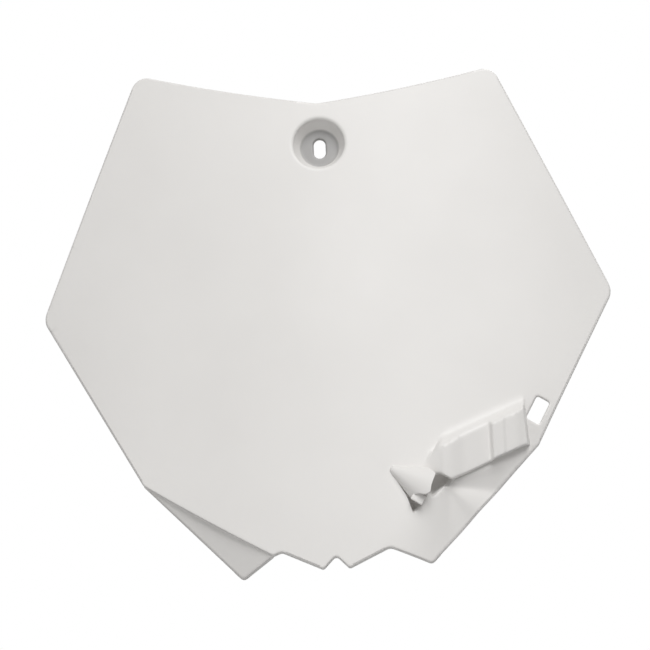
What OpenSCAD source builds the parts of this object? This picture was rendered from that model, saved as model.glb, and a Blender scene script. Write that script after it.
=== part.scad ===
// Racing number board for the front of a motocross bike, moulded in one piece.
// Seen from the front: X to the right, Z up, and the front face looks along -Y.
// The origin is the middle of the screw slot, on the back of the cup floor that bears on the bike.

/* [Sheet] */
// Thickness of the moulded sheet
wall = 2.4; // [1.8:0.1:3.2]
// Radius that the sheet is bent to, about an upright axis
bend_r = 375; // [320:5:600]

/* [Outline] */
// Height of the dip in the top edge above the screw slot
dip_z = 21.3; // [19:0.5:26]
// Sag of each arm of the top edge below its chord
arm_sag = 2.2; // [0:0.1:4]
// Left ear, sideways from the middle
left_ear_x = 91.8; // [80:0.5:105]
// Left ear, height above the slot
left_ear_z = 45.9; // [35:0.5:55]
// Right ear, sideways from the middle
right_ear_x = 88.7; // [80:0.5:105]
// Right ear, height above the slot
right_ear_z = 39.9; // [30:0.5:55]
// Left side corner, sideways from the middle
left_side_x = 143.9; // [130:0.5:155]
// Right side corner, sideways from the middle
right_side_x = 142.6; // [130:0.5:155]
// Side corners, depth below the slot
side_z = 76.5; // [65:0.5:90]
// Left end of the ledge, sideways from the middle
left_knee_x = 91.7; // [85:0.5:100]
// Left end of the ledge, depth below the slot
left_knee_z = 168.8; // [162:0.5:175]
// Right knee of the outline, sideways from the middle
right_knee_x = 100.5; // [97:0.5:106]
// Right knee of the outline, depth below the slot
right_knee_z = 155.5; // [150:0.5:160]
// Points of the two flaps, sideways from the middle
point_x = 45.8; // [42:0.5:52]
// Point of the left flap, depth below the slot
left_point_z = 215.8; // [210:0.5:222]
// Point of the right flap, depth below the slot
right_point_z = 212.8; // [209:0.5:220]
// Crotches between the flaps and the tongue, sideways from the middle
crotch_x = 26; // [20:0.5:32]
// Crotches, depth below the slot
crotch_z = 204.8; // [200:0.5:208]
// Half width of the notch between the two lips of the tongue
notch_x = 6.2; // [4:0.2:10]
// Tongue lips, depth below the slot
tongue_z = 214.2; // [210:0.2:218]
// Notch root, depth below the slot
notch_z = 207.8; // [204:0.2:210]

/* [Corners] */
// Radius of the ears
ear_r = 7.5; // [3:0.5:10]
// Radius of the side corners
side_r = 9; // [3:0.5:14]
// Radius of the knees
knee_r = 5; // [2:0.5:8]
// Radius of the flap points
point_r = 2.8; // [1:0.2:4]
// Radius of the crotches
crotch_r = 4; // [1:0.5:6]
// Radius of the notch and its lips
notch_r = 1.8; // [0.8:0.2:2.4]

/* [Screw cup] */
// Radius of the cup at the face
cup_rim_r = 12.6; // [11:0.2:16]
// Radius of the cup floor
cup_floor_r = 9.9; // [8:0.1:10.5]
// Depth of the cup floor below the face
cup_depth = 8.5; // [6:0.5:12]
// Radius that rolls the cup rim into the face
cup_roll_r = 1.8; // [0.6:0.2:2.4]
// Width of the screw slot
slot_w = 6; // [5:0.1:7]
// Length of the screw slot
slot_l = 10; // [8:0.5:14]

/* [Left flap] */
// Set back of the flap behind the ledge
ledge_step = 4; // [3:0.5:6]
// Bow of the ledge line
ledge_bow = 1.2; // [0:0.1:2]
// Slope that the left flap folds back with
left_fold = 0.62; // [0.3:0.02:0.9]

/* [Right flap] */
// Slope that the right flap folds back with
right_fold = 0.3; // [0.2:0.02:0.5]
// Slope of the soft fold that brings the right flap back to the face
blend_fold = 0.44; // [0.3:0.02:0.6]
// Depth of the lip along the lower edges
lip_depth = 5; // [4:0.5:9]

/* [Hose guide] */
// Top left corner of the fluted band, sideways from the middle
guide_x = 52; // [48:0.5:54]
// Top left corner of the fluted band, depth below the slot
guide_z = 158; // [155:0.5:162]
// Length of the band along X
band_l = 42.4; // [40:0.2:44]
// Rise of the band towards its right end
band_rise = 19; // [17:0.5:21]
// Height of the band at its left end
band_h = 15.4; // [13:0.2:18]
// How far the band stands out from the face
band_out = 5.4; // [4.5:0.1:7]
// Depth of the flutes in the band
flute = 1.6; // [0.6:0.1:2]
// Run of the sloping roof above the band
roof_run = 5.5; // [5:0.5:8]
// Run of the band's left end, from the face up to the band
flank_run = 8; // [6:0.5:10]
// Wall of the funnel
funnel_wall = 1.8; // [1.2:0.1:2.4]
// Radius of the funnel's blunt tip
funnel_tip_r = 1.8; // [1:0.1:2.4]
// Half angle of the funnel
funnel_a = 21; // [18:0.5:23]
// Width of the latch tab on the funnel's end
tab_w = 5; // [4:0.2:6]
// Depth of the scoop behind the funnel
scoop_depth = 8; // [6:0.5:10]
// Reach of the scoop behind the funnel, from the mouth's lower edge
scoop_run = 11.5; // [10:0.5:16]

/* [Strap hole] */
// Width of the hole beside the band
hole_w = 7; // [5:0.2:8]
// Length of the hole
hole_l = 12.6; // [10:0.2:14]
// Lean of the hole
hole_lean = 29; // [24:1:34]
// Radius of the hole corners
hole_r = 1.3; // [0.5:0.1:2]

/* [Hidden] */
$fn = 96;
bend_fn = 240;                   // facets drawn round the sheet's bend
arc_n = 8;                       // steps in an arc of the outline
big = 600;                       // larger than the whole board
front_y = -(cup_depth + wall);   // the face's foremost line, in front of the cup's back

left_ear = [-left_ear_x, left_ear_z];
right_ear = [right_ear_x, right_ear_z];
left_side = [-left_side_x, -side_z];
right_side = [right_side_x, -side_z];
left_knee = [-left_knee_x, -left_knee_z];
right_knee = [right_knee_x, -right_knee_z];
left_point = [-point_x, -left_point_z];
right_point = [point_x, -right_point_z];
left_crotch = [-crotch_x, -crotch_z];
right_crotch = [crotch_x, -crotch_z];
dip = [0, dip_z];

// Top left corner of the fluted band, from which the hose guide is placed
guide = [guide_x, -guide_z];
band_run = [band_l, band_rise];
// Hinge of the right flap: it starts under the band's roof and leaves at the right edge
hinge_a = guide + [-2, -7];
hinge_b = guide + band_run + [12.6, 0];
// Soft fold from the mouth of the guide down to the right flap's edge
blend_a = guide + [-6, -23];
blend_b = guide + [8, -40];

// Depth of the bent face behind its foremost line, at a place across the board
function sag(x) = bend_r - sqrt(bend_r * bend_r - x * x);
function unit(v) = v / norm(v);
function fold_x(a, b) = (sag(b[0]) - sag(a[0])) / (b[0] - a[0]);
function on_face(p, set_back = 0) = [p[0], sag(p[0]) + set_back, p[1]];

// Depth gradient of a plane through two points of the face, that slopes back to the right of a-b
function fold(a, b, slope) =
    let (d = unit(b - a), along = (sag(b[0]) - sag(a[0])) / norm(b - a))
    along * d + slope * [d[1], -d[0]];

// Arc from a to b that bows to the right of a-b, without its last point
function arc(a, b, bow) =
    let (d = b - a, n = [d[1], -d[0]] / norm(d))
    [for (i = [0 : arc_n - 1]) let (t = i / arc_n) a + t * d + 4 * bow * t * (1 - t) * n];

// Rounds the corner q between p and r with a fillet
function fillet(p, q, r, radius) =
    let (u = unit(p - q), w = unit(r - q),
         half = acos(u * w) / 2,
         c = q + unit(u + w) * radius / sin(half),
         s = q + u * radius / tan(half) - c,
         e = q + w * radius / tan(half) - c,
         turn = sign(s[0] * e[1] - s[1] * e[0]) * acos(unit(s) * unit(e)))
    [for (i = [0 : arc_n])
        let (a = turn * i / arc_n)
        c + [s[0] * cos(a) - s[1] * sin(a), s[0] * sin(a) + s[1] * cos(a)]];

// A closed outline of [point, radius] corners, each rounded by its own radius
function rounded(list) = [
    for (i = [0 : len(list) - 1])
        let (p = list[(i + len(list) - 1) % len(list)][0],
             q = list[i][0],
             r = list[(i + 1) % len(list)][0],
             radius = list[i][1])
        each radius > 0 ? fillet(p, q, r, radius) : [q]];

// A list of plain points as unrounded corners, without the first
function plain(points) = [for (i = [1 : len(points) - 1]) [points[i], 0]];

// The face's outline above the ledge, anticlockwise seen from the front
face_corners = concat(
    [[dip, 10]],
    [for (i = [arc_n - 1 : -1 : 1]) [arc(left_ear, dip, arm_sag)[i], 0]],
    [[left_ear, ear_r], [left_side, side_r], [left_knee, knee_r]],
    plain(arc(left_knee, left_crotch, ledge_bow)),
    [[left_crotch, 0], [[-notch_x, -tongue_z], notch_r], [[0, -notch_z], notch_r],
     [[notch_x, -tongue_z], notch_r], [right_crotch, crotch_r], [right_point, point_r],
     [right_knee, knee_r], [right_side, side_r], [right_ear, ear_r]],
    plain(arc(right_ear, dip, -arm_sag)));

// The left flap's outline, and its hidden margin behind the ledge
flap_corners = [[left_knee, 0], [left_point, point_r], [left_crotch, 0]];
flap_margin = [left_knee, left_crotch, left_crotch + [0, wall], left_knee + [wall, wall]];

// How far the band stands out at a distance along it: two crests with a valley between
function ease(t) = (1 - cos(180 * min(1, max(0, t)))) / 2;
function band_proud(u) = band_out * min(1, (u + flank_run) / (flank_run + 1.5))
    - flute * ease((u - 4) / 9) + 1.25 * flute * ease((u - 23) / 5) - 1.2 * flute * ease((u - 36) / 6);

// The guide's places on the front view, all measured from the band's top left corner
band_lean = atan(band_rise / band_l);
roof_a = guide + [0, roof_run];
roof_b = roof_a + band_run;
flank_a = guide + [-9.1, -8.8];
flank_b = guide + [-2.1, 0.9];
end_a = guide + band_run + [0.8, 1];
end_b = guide + [band_l + 2, 2];
band_foot = [for (p = [[-0.4, 2.6 - band_h], [5.2, -band_h], [band_l, 1.5], [band_l + 4, 3.2]]) guide + p];
band_area = concat([guide + [-14, 3.4 - band_h]], band_foot,
    [guide + [band_l + 4, band_rise + 12], guide + [-14, band_rise + 12]]);
below_band = concat(band_foot, [guide + [75, 16], guide + [75, -90], guide + [-0.4, -90]]);

// The funnel's tip, its lean, and the part of its cone that stands in the open
tip = guide + [-22.4, -9.6];
funnel_lean = 27;
funnel_l = 26;
funnel_fn = 12;
funnel_area = [for (p = [[-29, -4], [-6.5, -7.4], [-2.2, -13.4],
                         [-4.8, -19], [-13.4, -24.5], [-29, -15]]) guide + p];
// The opening under the funnel and the end of the band, where the hose goes in
scoop_a = guide + [-14, -31.3];
scoop_b = guide + [5.4, -1 - band_h];
mouth_corners = [[guide + [-22.7, -11.8], 1], [scoop_a, 1.2], [scoop_b, 0.4],
                 [guide + [-0.4, 3 - band_h], 0], [guide + [-14, 3.8 - band_h], 0]];

// Middle of the strap hole, beside the band's upper right end
hole_at = guide + band_run + [6.6, 0.3];

// Everything that the front view shows inside a list of points
module column(points) {
    rotate([90, 0, 0]) linear_extrude(height = big, center = true) polygon(points);
}

// Everything behind a plane through p with depth gradient g, set back by gap
module behind(p, g, gap = 0) {
    n = norm([g[0], 1, g[1]]);
    translate(p) rotate([-asin(g[1] / n), 0, atan(g[0])])
        translate([-big / 2, gap, -big / 2]) cube(big);
}

// Everything behind the bent face, set back by gap
module behind_bend(gap = 0) {
    translate([0, bend_r, -big / 2]) cylinder(r = bend_r - gap, h = big, $fn = bend_fn);
}

// Everything behind the face and the right flap's two folds
module behind_face(gap = 0) {
    intersection() {
        behind_bend(gap);
        union() {
            behind(on_face(hinge_a), fold(hinge_a, hinge_b, right_fold), gap);
            behind(on_face(blend_a), fold(blend_a, blend_b, -blend_fold), gap);
        }
    }
}

// Everything behind the left flap
module behind_left_flap(gap = 0) {
    behind(on_face(left_knee, ledge_step), fold(left_knee, left_crotch, left_fold), gap);
}

// Everything behind the fluted band, seen from above as one profile
module behind_flutes(gap = 0) {
    last = band_l + 8;
    front = [for (u = [-14 : 1 : last]) [guide_x + u, sag(guide_x + u) - band_proud(u) + gap]];
    translate([0, 0, -guide_z - big / 2])
        linear_extrude(height = big)
            polygon(concat(front, [[guide_x + last, big / 4], [guide_x - 14, big / 4]]));
}

// The band with its roof, left flank and right end, solid to the back
module behind_band(gap = 0) {
    roof_slope = band_out / (roof_run * cos(band_lean));
    intersection() {
        behind_flutes(gap);
        behind(on_face(roof_a), fold(roof_a, roof_b, -roof_slope), gap);
        behind(on_face(flank_a), fold(flank_a, flank_b, -3), gap);
        behind(on_face(end_a), fold(end_a, end_b, -2.5), gap);
    }
}

// The funnel's cone as a many sided pyramid, thinner by gap
module cone(gap = 0) {
    slope = sag(tip[0] + 1) - sag(tip[0]);
    r1 = funnel_tip_r - gap / cos(funnel_a);
    translate(on_face(tip)) rotate([0, 90 + funnel_lean, atan(slope)]) translate([0, 0, gap])
        cylinder(r1 = max(0.2, r1), r2 = r1 + funnel_l * tan(funnel_a), h = funnel_l, $fn = funnel_fn);
}

// The face with the band raised out of it, open beneath and behind
module face_and_band() {
    difference() {
        union() {
            behind_face();
            intersection() {
                behind_band();
                column(band_area);
            }
        }
        behind_face(wall);
        intersection() {
            behind_band(wall);
            translate([0, 0, -wall - 1]) column(band_area);
        }
    }
}

// The sheet from ear to flap point, as one wall, with the flap's top edge running up behind the band
module sheet() {
    overlap = 4;
    intersection() {
        column(rounded(face_corners));
        union() {
            difference() {
                face_and_band();
                column(below_band);
            }
            intersection() {
                translate([0, 0, overlap]) column(below_band);
                difference() {
                    behind_face();
                    behind_face(wall);
                }
            }
        }
    }
}

// The left flap and the riser that carries it behind the ledge
module left_flap() {
    along = unit(left_crotch - left_knee);
    up = [-along[1], along[0]];
    inner = unit(left_crotch - left_point);
    side = [-inner[1], inner[0]];
    intersection() {
        union() {
            column(rounded(flap_corners));
            column(flap_margin);
        }
        union() {
            difference() {
                behind_left_flap();
                behind_left_flap(wall);
            }
            difference() {
                intersection() {
                    behind_left_flap();
                    column([left_point - inner * wall, left_crotch, left_crotch + side * wall,
                            left_point - inner * wall + side * wall]);
                }
                behind_left_flap(lip_depth);
            }
        }
    }
    difference() {
        intersection() {
            column(rounded(face_corners));
            behind_bend();
            column([left_knee, left_knee + up * 2 * wall, left_crotch + up * 2 * wall,
                    left_crotch - up * wall, left_knee - up * wall]);
        }
        behind_left_flap(wall);
        translate([up[0] * wall, 0, up[1] * wall]) column(rounded(face_corners));
    }
}

// The lip that stiffens the edge from the left crotch to the right flap's point
module lower_lip() {
    difference() {
        intersection() {
            behind_bend();
            column(rounded(face_corners));
            column([left_crotch + [0, wall], right_crotch + [0, 2 * wall], right_point + [point_r, wall],
                    right_point + [point_r, -wall], left_crotch + [0, -4 * wall]]);
        }
        behind_bend(lip_depth);
        translate([0, 0, wall]) column(rounded(face_corners));
    }
}

// The cup that takes the screw head, with its rolled rim and flat floor
module cup_shell() {
    rotate([90, 0, 0]) rotate_extrude()
        polygon([[0, -cup_depth - wall], [cup_floor_r + wall, -cup_depth - wall],
                 [cup_rim_r + wall + cup_roll_r, -wall / 2], [0, -wall / 2]]);
}

module cup_hollow() {
    rim = [for (a = [0 : 90 / arc_n : 90])
        [cup_rim_r + cup_roll_r * (1 - cos(a)), cup_roll_r * (sin(a) - 1)]];
    rotate([90, 0, 0]) rotate_extrude()
        polygon(concat([[0, -cup_depth], [cup_floor_r, -cup_depth]], rim,
                       [[cup_rim_r + cup_roll_r, wall], [0, wall]]));
}

module screw_slot() {
    span = slot_l - slot_w;
    rotate([-90, 0, 0]) {
        for (s = [-1, 1]) translate([0, s * span / 2, 0]) cylinder(d = slot_w, h = big / 8);
        translate([-slot_w / 2, -span / 2, 0]) cube([slot_w, span, big / 8]);
    }
}

module strap_hole() {
    w = hole_w / 2;
    l = hole_l / 2;
    translate([hole_at[0], 0, hole_at[1]]) rotate([0, hole_lean, 0])
        column(rounded([[[-w, -l], hole_r], [[w, -l], hole_r], [[w, l], hole_r], [[-w, l], hole_r]]));
}

// The funnel beside the band: a cone's wall that stands out of the face, cut off below
module funnel() {
    difference() {
        intersection() {
            cone();
            column(funnel_area);
        }
        cone(funnel_wall);
        behind_bend(wall / 2);
    }
}

// The latch tab on the lower end of the funnel
module latch_tab() {
    translate(on_face(guide + [-11.2, -22.2], -funnel_wall * 2.6)) rotate([0, 45, 0])
        translate([-tab_w / 2, 0, -tab_w / 2]) cube([tab_w, funnel_wall, tab_w]);
}

// The scoop that runs back from the mouth's lower edge and leads the hose in behind the band
module scoop() {
    d = scoop_b - scoop_a;
    lap = 1.2;
    ramp = 7;
    translate(on_face(scoop_a + d / 2)) rotate([0, -atan(d[1] / d[0]), atan(fold_x(scoop_a, scoop_b))])
        rotate([90, 0, 90]) linear_extrude(height = norm(d) * 0.8, center = true)
            polygon([[0.3, -lap], [0.3, 0.6], [scoop_depth, ramp], [scoop_depth, scoop_run],
                     [scoop_depth + wall, scoop_run], [scoop_depth + wall, ramp - 1], [wall - 0.1, -lap]]);
}

module number_plate() {
    color("whitesmoke")
    translate([0, front_y, 0])
    difference() {
        union() {
            difference() {
                sheet();
                column(rounded(mouth_corners));
            }
            left_flap();
            lower_lip();
            cup_shell();
            scoop();
            funnel();
            latch_tab();
        }
        cup_hollow();
        screw_slot();
        strap_hole();
    }
}

number_plate();
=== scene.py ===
"""Dresses the racing number board with one smooth moulded skin, its left flap, its lips and its hose funnel.

Lengths are in millimetres from the middle of the screw slot, and angles in degrees, unless a line says otherwise.
In the front view X runs to the right and Z up. Depth runs along Y, away from the camera.
"""

import logging
import math
from collections.abc import Callable, Sequence
from dataclasses import dataclass, field
from enum import Enum

import bmesh
import bpy
import numpy as np
from mathutils import Matrix, Vector
from mathutils.geometry import delaunay_2d_cdt


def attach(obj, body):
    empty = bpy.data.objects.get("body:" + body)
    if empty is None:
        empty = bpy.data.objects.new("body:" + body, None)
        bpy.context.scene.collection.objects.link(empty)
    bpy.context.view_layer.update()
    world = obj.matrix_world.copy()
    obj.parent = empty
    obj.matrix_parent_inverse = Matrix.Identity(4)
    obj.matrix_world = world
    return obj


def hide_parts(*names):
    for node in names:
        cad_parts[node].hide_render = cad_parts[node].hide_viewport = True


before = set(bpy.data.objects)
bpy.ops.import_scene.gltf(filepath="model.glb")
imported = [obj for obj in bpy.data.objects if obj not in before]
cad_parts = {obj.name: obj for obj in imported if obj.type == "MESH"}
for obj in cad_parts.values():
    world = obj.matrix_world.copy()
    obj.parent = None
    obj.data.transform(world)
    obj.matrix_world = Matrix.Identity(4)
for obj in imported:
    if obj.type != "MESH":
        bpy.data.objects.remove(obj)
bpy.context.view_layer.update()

MM = 0.001
NODE = "number_plate"
LOG = logging.getLogger("number_board")

ROW = 0.866  # height of even triangles, as a share of their side
RINGS = (0.06, 0.25, 0.55, 1.0, 1.45)  # distances of the mesh rings from an edge, as shares of its radius
CLEAR = 0.5  # distance that the grid keeps from the outermost turn of an edge
CALM = 3.0  # distance over which rounding comes back beside a calm place
CHUNK = 400  # points that are measured at a time
WIDE, SEAM, NARROW, FINE = 1.6, 1.3, 1.2, 0.9  # longest pieces of the outline, the seams, the lips and the holes

Place = tuple[float, float]
Line = tuple[Place, Place]
Triple = tuple[float, float, float]
Face = tuple[int, ...]
Array = np.ndarray
Socket = bpy.types.NodeSocket
Depth = Callable[[Array, Array], Array]


class EdgeKind(Enum):
    """How a stretch of a sheet's border is made."""

    FREE = "rounded edge with a side wall"
    SHARED = "goes on in the next sheet"


# ---- plane figures


def unit(v: Array) -> Array:
    """Returns v at length one."""
    return v / np.linalg.norm(v)


def beyond(a: Array, b: Array, x: Array, z: Array) -> Array:
    """Returns how far x and z lie to the left of the line a-b."""
    d = unit(b - a)
    return (x - a[0]) * -d[1] + (z - a[1]) * d[0]


def bowed(a: Place, b: Place, bow: float, steps: int = 10) -> list[Place]:
    """Draws a shallow arc between two places.

    Args:
        a: First place.
        b: Last place, which is left out.
        bow: Height of the arc to the right of a-b.
        steps: Number of pieces of the arc.

    Returns:
        The arc's places from a on.
    """
    pa, pb = np.array(a), np.array(b)
    d = pb - pa
    n = np.array([d[1], -d[0]]) / np.linalg.norm(d)
    return [tuple(pa + t * d + 4 * bow * t * (1 - t) * n) for t in np.arange(steps) / steps]


def filleted(p: Place, q: Place, r: Place, radius: float, steps: int = 8) -> list[Place]:
    """Rounds the corner q between p and r.

    Args:
        p: Place before the corner.
        q: The corner.
        r: Place after the corner.
        radius: Radius of the fillet.
        steps: Number of pieces of the fillet.

    Returns:
        The places of the fillet.
    """
    pq, pr, pp = np.array(q, float), np.array(r, float), np.array(p, float)
    u, w = unit(pp - pq), unit(pr - pq)
    half = math.acos(float(np.clip(u @ w, -1, 1))) / 2
    c = pq + unit(u + w) * radius / math.sin(half)
    s, e = pq + u * radius / math.tan(half) - c, pq + w * radius / math.tan(half) - c
    turn = math.copysign(math.acos(float(np.clip(unit(s) @ unit(e), -1, 1))), s[0] * e[1] - s[1] * e[0])
    return [
        (float(c[0] + s[0] * math.cos(a) - s[1] * math.sin(a)), float(c[1] + s[0] * math.sin(a) + s[1] * math.cos(a)))
        for a in np.linspace(0, turn, steps + 1)
    ]


def rounded(corners: Sequence[tuple[Place, float]], closed: bool = True) -> list[Place]:
    """Rounds each corner of a figure by its own radius.

    Args:
        corners: Pairs of a corner and its radius.
        closed: Whether the last corner joins the first.

    Returns:
        The places of the rounded figure.
    """
    places: list[Place] = []
    count = len(corners)
    for i, (q, radius) in enumerate(corners):
        if radius <= 0 or (not closed and i in (0, count - 1)):
            places.append(q)
        else:
            places += filleted(corners[i - 1][0], q, corners[(i + 1) % count][0], radius)
    return places


def resampled(places: Sequence[Place], step: float) -> Array:
    """Divides the long pieces of a line into steps.

    Args:
        places: The line's places.
        step: Longest piece that stays.

    Returns:
        The places, last one too.
    """
    line = [np.array(places[0], float)]
    for q in places[1:]:
        p, end = line[-1], np.array(q, float)
        n = max(1, math.ceil(float(np.linalg.norm(end - p)) / step))
        if np.linalg.norm(end - p) > 1e-6:
            line += [p + (end - p) * k / n for k in range(1, n + 1)]
    return np.array(line)


def distance(points: Array, lines: Sequence[Array]) -> Array:
    """Measures how far points lie from a set of lines.

    Args:
        points: Array of places.
        lines: Arrays of places, each an open line.

    Returns:
        The distance of each point.
    """
    best = np.zeros(len(points))
    starts = np.concatenate([line[:-1] for line in lines])
    ends = np.concatenate([line[1:] for line in lines])
    d = ends - starts
    size = np.maximum((d * d).sum(1), 1e-12)
    for i in range(0, len(points), CHUNK):
        q = points[i : i + CHUNK, None, :] - starts[None]
        t = np.clip((q * d).sum(2) / size, 0, 1)
        best[i : i + CHUNK] = np.sqrt(((q - t[..., None] * d) ** 2).sum(2)).min(1)
    return best


def inside(points: Array, loop: Array) -> Array:
    """Tells which points lie in a closed loop.

    Args:
        points: Array of places.
        loop: The loop's places, the first not repeated.

    Returns:
        One truth value for each point.
    """
    x, z = points[:, 0], points[:, 1]
    hit = np.zeros(len(points), bool)
    for (ax, az), (bx, bz) in zip(loop, np.roll(loop, -1, axis=0)):
        if az != bz:
            hit ^= ((az > z) != (bz > z)) & (x < (bx - ax) * (z - az) / (bz - az) + ax)
    return hit


def soft_max(a: Array, b: Array, soft: float) -> Array:
    """Returns the larger of two depths, with a soft turn of width soft between them."""
    h = np.clip(0.5 + 0.5 * (a - b) / soft, 0, 1)
    return a * h + b * (1 - h) + soft * h * (1 - h)


def ease(t: Array) -> Array:
    """Returns a soft step from 0 to 1 as t goes from 0 to 1."""
    return (1 - np.cos(np.pi * np.clip(t, 0, 1))) / 2


# ---- the board's shape


@dataclass(frozen=True)
class Bend:
    """The upright cylinder that the whole board is bent to."""

    radius: float = 375.0
    front: float = -10.9  # place of its foremost line along Y
    wall: float = 2.4  # thickness of the moulded sheet

    def sag(self, x: Array | float) -> Array | float:
        """Returns the depth of the bend behind its foremost line at x."""
        return self.radius - np.sqrt(self.radius**2 - np.square(x))

    def fold(self, a: Place, b: Place, slope: float, gap: float = 0.0) -> Depth:
        """Makes the plane through two places of the bend that slopes back to the right of a-b.

        Args:
            a: First place.
            b: Second place.
            slope: Depth gained for each millimetre away from the line a-b.
            gap: Depth added to the whole plane.

        Returns:
            The plane's depth as a function of x and z.
        """
        pa, pb = np.array(a), np.array(b)
        d = unit(pb - pa)
        along = (self.sag(b[0]) - self.sag(a[0])) / np.linalg.norm(pb - pa)
        g = along * d + slope * np.array([d[1], -d[0]])
        return lambda x, z: self.sag(a[0]) + gap + g[0] * (x - a[0]) + g[1] * (z - a[1])


@dataclass(frozen=True)
class Corners:
    """Corners of the front view, named as the camera sees them."""

    dip: Place = (0.0, 21.3)
    left_ear: Place = (-91.8, 45.9)
    right_ear: Place = (88.7, 39.9)
    left_side: Place = (-143.9, -76.5)
    right_side: Place = (142.6, -76.5)
    left_knee: Place = (-92.9, -167.4)
    right_knee: Place = (100.5, -155.5)
    left_point: Place = (-45.8, -215.8)
    right_point: Place = (45.8, -212.8)
    left_crotch: Place = (-26.0, -204.8)
    ledge_end: Place = (-30.2, -206.4)
    right_crotch: Place = (26.0, -204.8)
    left_lip: Place = (-6.2, -214.2)
    right_lip: Place = (6.2, -214.2)
    notch: Place = (0.0, -207.8)
    guide: Place = (52.0, -158.0)

    def by_guide(self, *places: Place) -> list[Place]:
        """Returns places that are given from the guide's corner, in the front view."""
        return [(self.guide[0] + u, self.guide[1] + v) for u, v in places]

    def lower_edge(self) -> list[tuple[Place, float]]:
        """Returns the corners of the lower edge from the ledge to the right point, each with its radius."""
        return [
            (self.ledge_end, 0.0), (self.left_crotch, 2.6), (self.left_lip, 1.8), (self.notch, 1.8),
            (self.right_lip, 1.8), (self.right_crotch, 4.0), (self.right_point, 2.8),
        ]


@dataclass(frozen=True)
class ScrewCup:
    """The round cup that takes the screw head, with its slot."""

    bend: Bend
    rim: float = 12.6  # radius at the face
    floor: float = 9.9
    depth: float = 8.5  # depth of the floor below the face
    roll: float = 1.8  # radius that rolls the rim into the face
    foot: float = 1.2  # radius that rounds the wall into the floor
    slot_w: float = 6.0
    slot_l: float = 10.0
    # radii of mesh rings beside those of the two profiles
    extra_rings: tuple[float, ...] = (6.5, 8.0, 10.6, 11.2, 11.8, 18.8, 21.0)
    spokes: int = 96  # mesh places on a ring

    def front(self) -> tuple[Array, Array]:
        """Returns the radii and depths of the cup's front profile."""
        a = np.linspace(0, np.pi / 2, 9)
        flat, deep, low = self.floor - self.foot, self.depth - self.foot, a[1:6]
        r = [[0, flat], flat + self.foot * np.sin(low), self.rim + self.roll * (1 - np.cos(a))]
        d = [[self.depth] * 2, deep + self.foot * np.cos(low), self.roll * (1 - np.sin(a))]
        return np.concatenate(r), np.concatenate(d)

    def back(self) -> tuple[Array, Array]:
        """Returns the radii and depths of the cup's back profile."""
        wall = self.bend.wall
        deep, edge = self.depth + wall, self.floor + wall
        r = [0, edge - 0.8, edge - 0.3, edge, edge + 0.3, 15.2, 15.9, 16.6, 17.4]
        d = [deep, deep, deep - 0.12, deep - 0.4, deep - 1.0, wall + 1.9, wall + 0.75, wall + 0.2, wall]
        return np.array(r), np.array(d)

    def slot(self) -> list[Place]:
        """Returns the outline of the slot."""
        r, s = self.slot_w / 2, (self.slot_l - self.slot_w) / 2
        halves = [np.linspace(0, math.pi - 1e-9, 13), np.linspace(math.pi, 2 * math.pi - 1e-9, 13)]
        return [(r * math.cos(a), r * math.sin(a) + (s if a < math.pi else -s)) for a in np.concatenate(halves)]

    def spots(self) -> Array:
        """Returns mesh places on rings round the cup."""
        radii = np.concatenate([self.front()[0][1:], self.back()[0][1:], self.extra_rings])
        rings = []
        for k, r in enumerate(sorted(radii)):
            a = np.arange(self.spokes) * 2 * np.pi / self.spokes + (k % 2) * np.pi / self.spokes
            rings.append(np.column_stack([r * np.cos(a), r * np.sin(a)]))
        return np.concatenate(rings)


@dataclass(frozen=True)
class StrapHole:
    """The turned rectangular hole beside the band."""

    corners: Corners
    middle: Place = (49.0, 19.3)  # its middle, from the guide's corner
    size: Place = (3.5, 6.3)  # half width and half height
    corner: float = 1.3
    turn: float = -29.0

    def outline(self) -> Array:
        """Returns the hole's outline in the front view."""
        (cx, cz), = self.corners.by_guide(self.middle)
        w, h = self.size
        box = rounded([((u, v), self.corner) for u, v in ((-w, -h), (w, -h), (w, h), (-w, h))])
        a = math.radians(self.turn)
        turned = [(cx + x * math.cos(a) - z * math.sin(a), cz + x * math.sin(a) + z * math.cos(a)) for x, z in box]
        return resampled([*turned, turned[0]], FINE)[:-1]


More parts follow.
